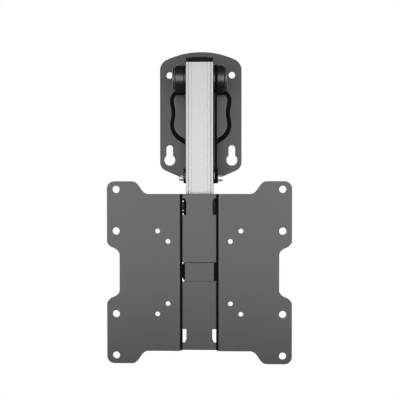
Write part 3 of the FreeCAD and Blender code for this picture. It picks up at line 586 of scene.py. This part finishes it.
spring_steel = finish_material("oiled_spring_steel", (0.18, 0.175, 0.17), roughness=0.35,
                               metallic=1.0, grain_size=900.0, grain_depth=0.00001)
friction_fibre = finish_material("friction_fibre", (0.016, 0.0145, 0.013), roughness=0.8,
                                 grain_size=1200.0, grain_depth=0.00004)
spring_sheet = 0.0011
spring_cone = 0.0009
spring_radius = 0.010
spring_height = spring_sheet + spring_cone
low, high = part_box("disc_springs")
spring_count = round((high[0] - low[0]) / spring_height)
springs = []
for i in range(spring_count):
    start = high[0] - (i + 1) * spring_height
    lean = spring_cone if i % 2 else 0.0
    rise = spring_cone - lean
    profile = [(start + lean, pin_bore), (start + lean + spring_sheet, pin_bore),
               (start + rise + spring_sheet, spring_radius), (start + rise, spring_radius),
               (start + lean, pin_bore)]
    springs.append((turned(profile, edge=0.0001), hinge_line))
assembled("cone_springs", springs, spring_steel, "wall_bracket", "disc_springs")


def flat_ring(outer_radius, inner_radius, low_x, high_x, edge):
    """Flat ring, such as a washer, between two places along X."""
    profile = [(low_x, inner_radius), (high_x, inner_radius), (high_x, outer_radius),
               (low_x, outer_radius), (low_x, inner_radius)]
    return turned(profile, edge)


for side in ("left", "right"):
    name = "friction_disc_" + side
    low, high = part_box(name)
    disc = flat_ring((high[2] - low[2]) / 2, pin_bore, low[0], high[0], edge=0.0001)
    assembled(side + "_fibre_disc", [(disc, hinge_line)], friction_fibre,
              "wall_bracket", name)


# Arm
# An aluminium extrusion, drawn and anodised, with two pairs of fine grooves down
# its front. The die leaves faint lines along it and the anodising a satin sheen.

aluminium_dark = (0.357, 0.357, 0.359, 1)
aluminium_light = (0.447, 0.447, 0.449, 1)
line_stretch = 0.012
line_share = 0.55
speckle_share = 0.45


def drawn_aluminium():
    """Satin metal whose tone and gloss follow faint lines along Z, with a fine speckle."""
    finish = bpy.data.materials.new("drawn_aluminium")
    finish.use_nodes = True
    tree = finish.node_tree
    shader = tree.nodes["Principled BSDF"]
    shader.inputs["Metallic"].default_value = 0.9
    place = tree.nodes.new("ShaderNodeTexCoord")
    stretch = tree.nodes.new("ShaderNodeMapping")
    stretch.inputs["Scale"].default_value = (1.0, 1.0, line_stretch)
    lines = tree.nodes.new("ShaderNodeTexNoise")
    lines.inputs["Scale"].default_value = 900.0
    lines.inputs["Detail"].default_value = 5.0
    lines.inputs["Roughness"].default_value = 0.65
    speckle = tree.nodes.new("ShaderNodeTexNoise")
    speckle.inputs["Scale"].default_value = 1100.0
    speckle.inputs["Detail"].default_value = 2.0
    both = tree.nodes.new("ShaderNodeMath")
    both.operation = "MULTIPLY_ADD"
    both.inputs[1].default_value = speckle_share
    weaker_lines = tree.nodes.new("ShaderNodeMath")
    weaker_lines.operation = "MULTIPLY"
    weaker_lines.inputs[1].default_value = line_share
    tone = tree.nodes.new("ShaderNodeValToRGB")
    tone.color_ramp.elements[0].position = 0.3
    tone.color_ramp.elements[0].color = aluminium_dark
    tone.color_ramp.elements[1].position = 0.7
    tone.color_ramp.elements[1].color = aluminium_light
    gloss = tree.nodes.new("ShaderNodeMapRange")
    gloss.inputs["To Min"].default_value = 0.42
    gloss.inputs["To Max"].default_value = 0.56
    bump = tree.nodes.new("ShaderNodeBump")
    bump.inputs["Strength"].default_value = 0.4
    bump.inputs["Distance"].default_value = 0.00002
    tree.links.new(place.outputs["Object"], stretch.inputs["Vector"])
    tree.links.new(place.outputs["Object"], speckle.inputs["Vector"])
    tree.links.new(stretch.outputs["Vector"], lines.inputs["Vector"])
    tree.links.new(speckle.outputs["Fac"], both.inputs[0])
    tree.links.new(lines.outputs["Fac"], weaker_lines.inputs[0])
    tree.links.new(weaker_lines.outputs[0], both.inputs[2])
    tree.links.new(both.outputs[0], tone.inputs["Fac"])
    tree.links.new(lines.outputs["Fac"], gloss.inputs["Value"])
    tree.links.new(lines.outputs["Fac"], bump.inputs["Height"])
    tree.links.new(tone.outputs["Color"], shader.inputs["Base Color"])
    tree.links.new(gloss.outputs["Result"], shader.inputs["Roughness"])
    tree.links.new(bump.outputs["Normal"], shader.inputs["Normal"])
    return finish


arm_low, arm_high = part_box("arm_profile")
arm_front = arm_low[1]
groove_depth = 0.0007
groove_floor = arm_front + groove_depth
outer_groove_depth = 0.00052
inner_groove_depth = 0.00025
between_grooves = 0.0118


def worn_grooves(skin):
    """The grooves' floors, raised to what the die leaves of them: the inner pair is fainter."""
    for vert in skin.verts:
        if abs(vert.co.y - groove_floor) < surface_slack:
            inner_pair = abs(vert.co.x) < between_grooves
            vert.co.y = arm_front + (inner_groove_depth if inner_pair else outer_groove_depth)


softened("arm_profile", drawn_aluminium(), edge=0.00015, body="arm",
         reshape=worn_grooves)


# End caps
# Moulded black plastic lids with a hollow plug that is pressed into the extrusion's
# middle chamber. Their fronts repeat its grooves, and their middles stand higher.

moulded = finish_material("moulded_plastic", (0.0085, 0.0085, 0.0085), roughness=0.6,
                          grain_size=2500.0, grain_depth=0.00002, specular=0.06)
groove_half = 0.00045
groove_lines = (-0.01375, -0.0098, 0.0098, 0.01375)
crown_rise = 0.0007
crown_margin = 0.0006
back_round = 0.0024
back_round_share = 0.8
joined_depth = 0.0002
same_line = 0.000001
plug_half = 0.01055
plug_front = -0.0487
plug_back = -0.0213
plug_wall = 0.0019


def slab(outline, start, end):
    """Upright block from an outline of (x, y) points between two levels."""
    block = bmesh.new()
    base = block.faces.new([block.verts.new((x, y, start)) for x, y in outline])
    raised = bmesh.ops.extrude_face_region(block, geom=[base])
    top = [item for item in raised["geom"] if isinstance(item, bmesh.types.BMVert)]
    bmesh.ops.translate(block, verts=top, vec=(0, 0, end - start))
    bmesh.ops.recalc_face_normals(block, faces=block.faces)
    return block


def plug_walls(start, end):
    """The plug's four walls, open at both ends."""
    walls = bmesh.new()
    rims = []
    for inset in (0.0, plug_wall):
        half, front, back = plug_half - inset, plug_front + inset, plug_back - inset
        corners = ((-half, front), (half, front), (half, back), (-half, back))
        rims.append([walls.verts.new((x, y, start)) for x, y in corners])
    outer, inner = rims
    base = []
    for i in range(4):
        following = (i + 1) % 4
        corners = (outer[i], outer[following], inner[following], inner[i])
        base.append(walls.faces.new(corners))
    raised = bmesh.ops.extrude_face_region(walls, geom=base)
    top = [item for item in raised["geom"] if isinstance(item, bmesh.types.BMVert)]
    bmesh.ops.translate(walls, verts=top, vec=(0, 0, end - start))
    bmesh.ops.recalc_face_normals(walls, faces=walls.faces)
    return walls


def end_cap(name, seat, crown, plug_end):
    """Lid from the extrusion's end to its crown, with its plug reaching the other way."""
    low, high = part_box(name)
    out = 1 if crown > seat else -1
    shoulder = crown - out * crown_rise
    outline = [(low[0], low[1])]
    for x in groove_lines:
        outline += [(x - groove_half, low[1]), (x - groove_half, low[1] + groove_depth),
                    (x + groove_half, low[1] + groove_depth), (x + groove_half, low[1])]
    outline += [(high[0], low[1]), (high[0], high[1]), (low[0], high[1])]
    lid = slab(outline, seat, shoulder)
    back = [line for line in lid.edges
            if all(abs(vert.co.z - shoulder) < same_line for vert in line.verts)
            and all(abs(vert.co.y - high[1]) < same_line for vert in line.verts)]
    radius = min(back_round, abs(shoulder - seat) * back_round_share)
    bmesh.ops.bevel(lid, geom=back, offset=radius, segments=6, profile=0.5, affect="EDGES",
                    material=-1)
    crown_half = groove_lines[2] - groove_half
    crown_back = high[1] - back_round - crown_margin
    crown_outline = ((-crown_half, low[1]), (crown_half, low[1]),
                     (crown_half, crown_back), (-crown_half, crown_back))
    middle = slab(crown_outline, shoulder - out * joined_depth, crown)
    walls = plug_walls(seat + out * joined_depth, plug_end)
    still = Matrix.Identity(4)
    parts = [(lid, still), (middle, still), (walls, still)]
    cap = assembled(name + "_lid", parts, moulded, "arm", name)
    rounded(cap, 0.0002)


low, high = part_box("arm_top_cap")
end_cap("arm_top_cap", seat=arm_high[2], crown=high[2], plug_end=low[2])
low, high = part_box("arm_end_cap")
end_cap("arm_end_cap", seat=arm_low[2], crown=low[2], plug_end=high[2])


# Arm bracket, side plate and clamp pads
# Folded steel behind the arm, coated like the plate, and a flat steel strip along its right
# side, near black and almost without gloss. Plastic pads lie between them and the bolt that
# clamps them to the arm.

# Near black and almost without gloss, for the strip along the arm's right side.
near_black_matt = finish_material("near_black_matt_steel", (0.0065, 0.0065, 0.0065), roughness=0.5,
                            grain_size=1600.0, specular=0.02)
softened("arm_bracket", powder_coat, edge=0.0003, body="arm")
softened("side_plate", near_black_matt, edge=0.0007, steps=3, body="arm")
for name in ("clamp_pad_left", "clamp_pad_right"):
    softened(name, moulded, edge=0.0002, body="arm")


# Screen plate
# One large pressing: flat wings with the hole patterns, and a channel set back
# between them, with a slot each side of it and a window at its middle.

low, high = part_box("pivot_bolt")
pivot_level = (low[2] + high[2]) / 2
sweep_middle = (0.0711, 0.1022)
sweep_half = 0.0076
sweep_reach = 0.011
sweep_lean = 0.00125
notch_middle = (0.1035, 0.0301)
notch_half = 0.0076
notch_reach = 0.010
notch_lean = 0.0008
notch_drop = 0.0004
lean_turn = 2.3
lean_limit = 1.01
channel_half = 0.03
flank_turn = 0.75


def leaned(skin):
    """Slants the steps in the outline, between each ear and the plate's top, foot and sides."""
    for vert in skin.verts:
        across = abs(vert.co.x)
        rise = abs(vert.co.z - pivot_level)
        by_sweep = (rise - sweep_middle[1]) / sweep_half
        by_notch = (across - notch_middle[0]) / notch_half
        if abs(by_sweep) < lean_limit and abs(across - sweep_middle[0]) < sweep_reach:
            vert.co.x += math.copysign(1, vert.co.x) * sweep_lean * math.sin(lean_turn * by_sweep)
        elif abs(by_notch) < lean_limit and abs(rise - notch_middle[1]) < notch_reach:
            shift = notch_lean * math.sin(lean_turn * by_notch) - notch_drop
            vert.co.z += math.copysign(1, vert.co.z - pivot_level) * shift


def channel_shade_zone(face):
    """1 for painted shade on the drawn flanks of the channel in the middle of the screen plate."""
    inside = abs(face.calc_center_median().x) < channel_half
    return 1 if inside and abs(face.normal.x) > flank_turn else 0


# The channel's flanks get painted shade: the coat's copy with almost no gloss.
softened("screen_plate", powder_coat, edge=0.0004, body="screen_head", reshape=leaned,
         zone=channel_shade_zone, zone_finishes=(painted_shade_coat,))


# Tilt clevis and guide plates
# Folded and cut steel, welded to the back of the screen plate: the clevis along the
# window's edges, and the guide plates along the upper slots. The clevis is coated with the
# plate; the guide plates carry painted shade, the right one with the plate's coat on its
# rounded edges.

softened("tilt_clevis", powder_coat, edge=0.0003, body="screen_head")
# Painted shade on the guide plates seen through the slots; the right one's rounded edges keep the
# plate's coat.
softened("guide_plate_left", painted_shade_coat, edge=0.0008, steps=3, body="screen_head")
softened("guide_plate_right", painted_shade_coat, edge=0.0005, steps=3, body="screen_head", rim=powder_coat)


ripple = 0.0013
ripple_rings = 8
ripple_swell = 0.07
fewest_rings = 24


def weld_bead(length, radius):
    """Bead along X about its middle, rippled where each drop of metal set, with rounded ends."""
    count = max(fewest_rings, int(length / ripple * ripple_rings))
    profile = []
    for i in range(count + 1):
        x = length * (i / count - 0.5)
        from_end = min(1.0, (length / 2 - abs(x)) / radius)
        swell = 1 + ripple_swell * math.cos(math.tau * x / ripple)
        profile.append((x, radius * swell * math.sqrt(1 - (1 - from_end) ** 2)))
    return turned(profile, steps=24)


along_z = Matrix.Rotation(math.radians(90), 4, "Y")
clevis_low, clevis_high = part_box("tilt_clevis")
plate_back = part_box("guide_plate_left")[0][1]
web_gap = 0.00035
web_edge = clevis_high[2] - pivot_level + web_gap
web_bead_radius = 0.0011


def level_bead(length, x, behind, level):
    """Bead across the window; behind is how far its middle lies behind the plate's back."""
    place = Matrix.Translation((x, plate_back + behind, pivot_level + level))
    return weld_bead(length, web_bead_radius), place


def upright_bead(x, start, end, behind, radius):
    """Bead up the plate's back between two levels, counted from the pivot's."""
    place = Matrix.Translation((x, plate_back + behind, pivot_level + (start + end) / 2))
    return weld_bead(end - start, radius), place @ along_z


side_gap = 0.0003
side_bead_radius = 0.0013
side_bead_behind = 0.0006
left_x = clevis_low[0] - side_gap
right_x = clevis_high[0] + side_gap
window_beads = [
    level_bead(length=0.0383, x=0.00095, behind=0.0015, level=web_edge),
    upright_bead(left_x, -0.0075, 0.0090, side_bead_behind, side_bead_radius),
    upright_bead(right_x, -0.0112, 0.0112, side_bead_behind, side_bead_radius),
]
lower_bead = level_bead(length=0.0380, x=0.0011, behind=-0.0005, level=-web_edge)
# Painted shade: the beads along the window's top and sides get the glossless dark copy of the coat;
# the lower one keeps the plate's coat.
assembled("window_weld_beads", window_beads, painted_shade_coat, "screen_head")
assembled("lower_window_weld_bead", [lower_bead], powder_coat, "screen_head")

guide_bead_radius = 0.0016
guide_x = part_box("guide_plate_right")[1][0] + guide_bead_radius / 2
guide_beads = [
    upright_bead(-guide_x, 0.0711, 0.0740, guide_bead_radius, guide_bead_radius),
    upright_bead(-guide_x, 0.0865, 0.0910, guide_bead_radius, guide_bead_radius),
    upright_bead(guide_x, 0.0660, 0.0920, guide_bead_radius, guide_bead_radius),
]
# Painted shade on the beads seen through the upper slots.
assembled("guide_weld_beads", guide_beads, painted_shade_coat, "screen_head")


# Cross bolt, guide bolt and pivot bolt
# Zinc plated cap screws from the right, with knurled heads and lock nuts at their
# left ends. A black nylon ring in each nut's collar grips the rolled thread.

nylon = finish_material("nut_nylon", (0.012, 0.012, 0.013), roughness=0.5, grain_size=2500.0,
                        grain_depth=0.00001)
knurl_depth = 0.00012
knurl_count = 24
thread_to_shank = 2
socket_to_shank = 0.5
head_edge_to_shank = 0.05


def line_of(name):
    """Matrix that lays a shape from the X axis on a fastener's own line."""
    low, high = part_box(name)
    return Matrix.Translation((0, (low[1] + high[1]) / 2, (low[2] + high[2]) / 2))


def knurled(shape, radius, low_x, high_x):
    """Straight knurls round a screw's head, for turning it by hand."""
    for vert in shape.verts:
        here = math.hypot(vert.co.y, vert.co.z)
        if low_x <= vert.co.x <= high_x and here > radius - surface_slack:
            turn = math.atan2(vert.co.z, vert.co.y)
            factor = 1 - knurl_depth / radius * (0.5 - 0.5 * math.cos(knurl_count * turn))
            vert.co.y *= factor
            vert.co.z *= factor


def cap_screw(name, shank, head, key, pitch, body):
    """Cap screw of a nominal shank: its head is as high as the shank is thick."""
    low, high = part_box(name)
    tip, face = low[0], high[0]
    seat = face - shank
    floor = face - shank * socket_to_shank
    point = pitch * thread_depth_share
    thread_end = tip + shank * thread_to_shank
    profile = [(tip, 0.0), (tip, shank / 2 - point)]
    profile += thread_rings(tip + point, thread_end, shank / 2, pitch)
    profile += [(seat, shank / 2), (seat, head / 2), (face, head / 2), (face, key / 2),
                (floor, key / 2), (floor, 0.0)]
    screw = turned(profile, edge=shank * head_edge_to_shank)
    threaded(screw, shank / 2, tip + point * 0.9, thread_end, pitch)
    knurled(screw, head / 2, seat, face)
    hexed(screw, key, floor - 0.0002, face + 0.0001, socket=True)
    assembled(name + "_screw", [(screw, line_of(name))], zinc, body, name)


def lock_nut(name, bore, flats, body):
    """Hexagon with a round collar at its left end, and the nylon ring in that collar.

    Its radii and chamfers are shares of the width across the flats, and the collar and the
    ring are shares of the height.
    """
    low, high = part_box(name)
    end, seat = low[0], high[0]
    height = seat - end
    collar = end + height * 0.3
    corner = flats * 0.56
    ring_seat = end + height * 0.28
    bore_radius = bore / 2
    ring_radius = bore_radius + flats * 0.07
    profile = [(seat, bore_radius), (seat, flats * 0.485), (seat - flats * 0.05, corner)]
    profile += [(collar + flats * 0.03, corner), (collar, flats * 0.49), (collar, flats * 0.455)]
    profile += [(end + flats * 0.05, flats * 0.445), (end, flats * 0.39), (end, ring_radius)]
    profile += [(ring_seat, ring_radius), (ring_seat, bore_radius), profile[0]]
    nut = turned(profile, edge=flats * 0.01)
    hexed(nut, flats, collar - 0.00001, seat + 0.00001, socket=False)
    assembled(name + "_body", [(nut, line_of(name))], zinc, body, name)
    grip = flat_ring(ring_radius, bore_radius - 0.0002, end + height * 0.03, end + height * 0.27,
                     edge=0.0001)
    assembled(name + "_nylon_ring", [(grip, line_of(name))], nylon, body)


def washers(name, thickness, bore, body, finish=zinc, edge=0.00015):
    """The washers of one node, which lie at its left and right ends; a single one fills its box."""
    low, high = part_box(name)
    radius = (high[2] - low[2]) / 2
    parts = []
    for start in sorted({round(low[0], 6), round(high[0] - thickness, 6)}):
        washer = flat_ring(radius, bore / 2, start, start + thickness, edge)
        parts.append((washer, line_of(name)))
    assembled(name + "_pressed", parts, finish, body, name)


cap_screw("cross_bolt", shank=0.005, head=0.0085, key=0.004, pitch=0.0008, body="arm")
lock_nut("cross_nut", bore=0.0051, flats=0.008, body="arm")
washers("cross_washer", thickness=0.0008, bore=0.0052, body="arm")
cap_screw("guide_bolt", shank=0.006, head=0.010, key=0.005, pitch=0.001, body="arm")
lock_nut("guide_nut", bore=0.0061, flats=0.010, body="arm")
washers("guide_washers", thickness=0.0012, bore=0.0062, body="arm")
cap_screw("pivot_bolt", shank=0.008, head=0.013, key=0.006, pitch=0.00125, body="screen_head")
lock_nut("pivot_nut", bore=0.0081, flats=0.013, body="screen_head")
washers("pivot_washers", thickness=0.0016, bore=0.0082, body="screen_head")


# Spacer tubes, shims and bumpers
# Cut steel tubes keep the bolts from crushing the extrusion, plastic shims guide
# the clevis, and two rubber buttons stop the folded arm from rattling on the plate.

bumper_rubber = finish_material("bumper_rubber", (0.035, 0.035, 0.035), roughness=0.7,
                                grain_size=1800.0)
washers("pivot_shims", thickness=0.0006, bore=0.0082, body="screen_head", finish=moulded,
        edge=0.00008)
tube_gap = 0.00003
tube_clearance = 0.0001
bolts_in_tubes = {"hinge_spacer": 0.010, "cross_spacer": 0.005, "guide_spacer": 0.006,
                  "pivot_spacer": 0.008}
for name, bolt in bolts_in_tubes.items():
    low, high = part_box(name)
    tube = flat_ring((high[2] - low[2]) / 2, bolt / 2 + tube_clearance, low[0] + tube_gap,
                     high[0] - tube_gap, edge=0.0002)
    assembled(name + "_tube", [(tube, line_of(name))], zinc, "arm", name)
softened("rest_bumpers", bumper_rubber, edge=0.0001)
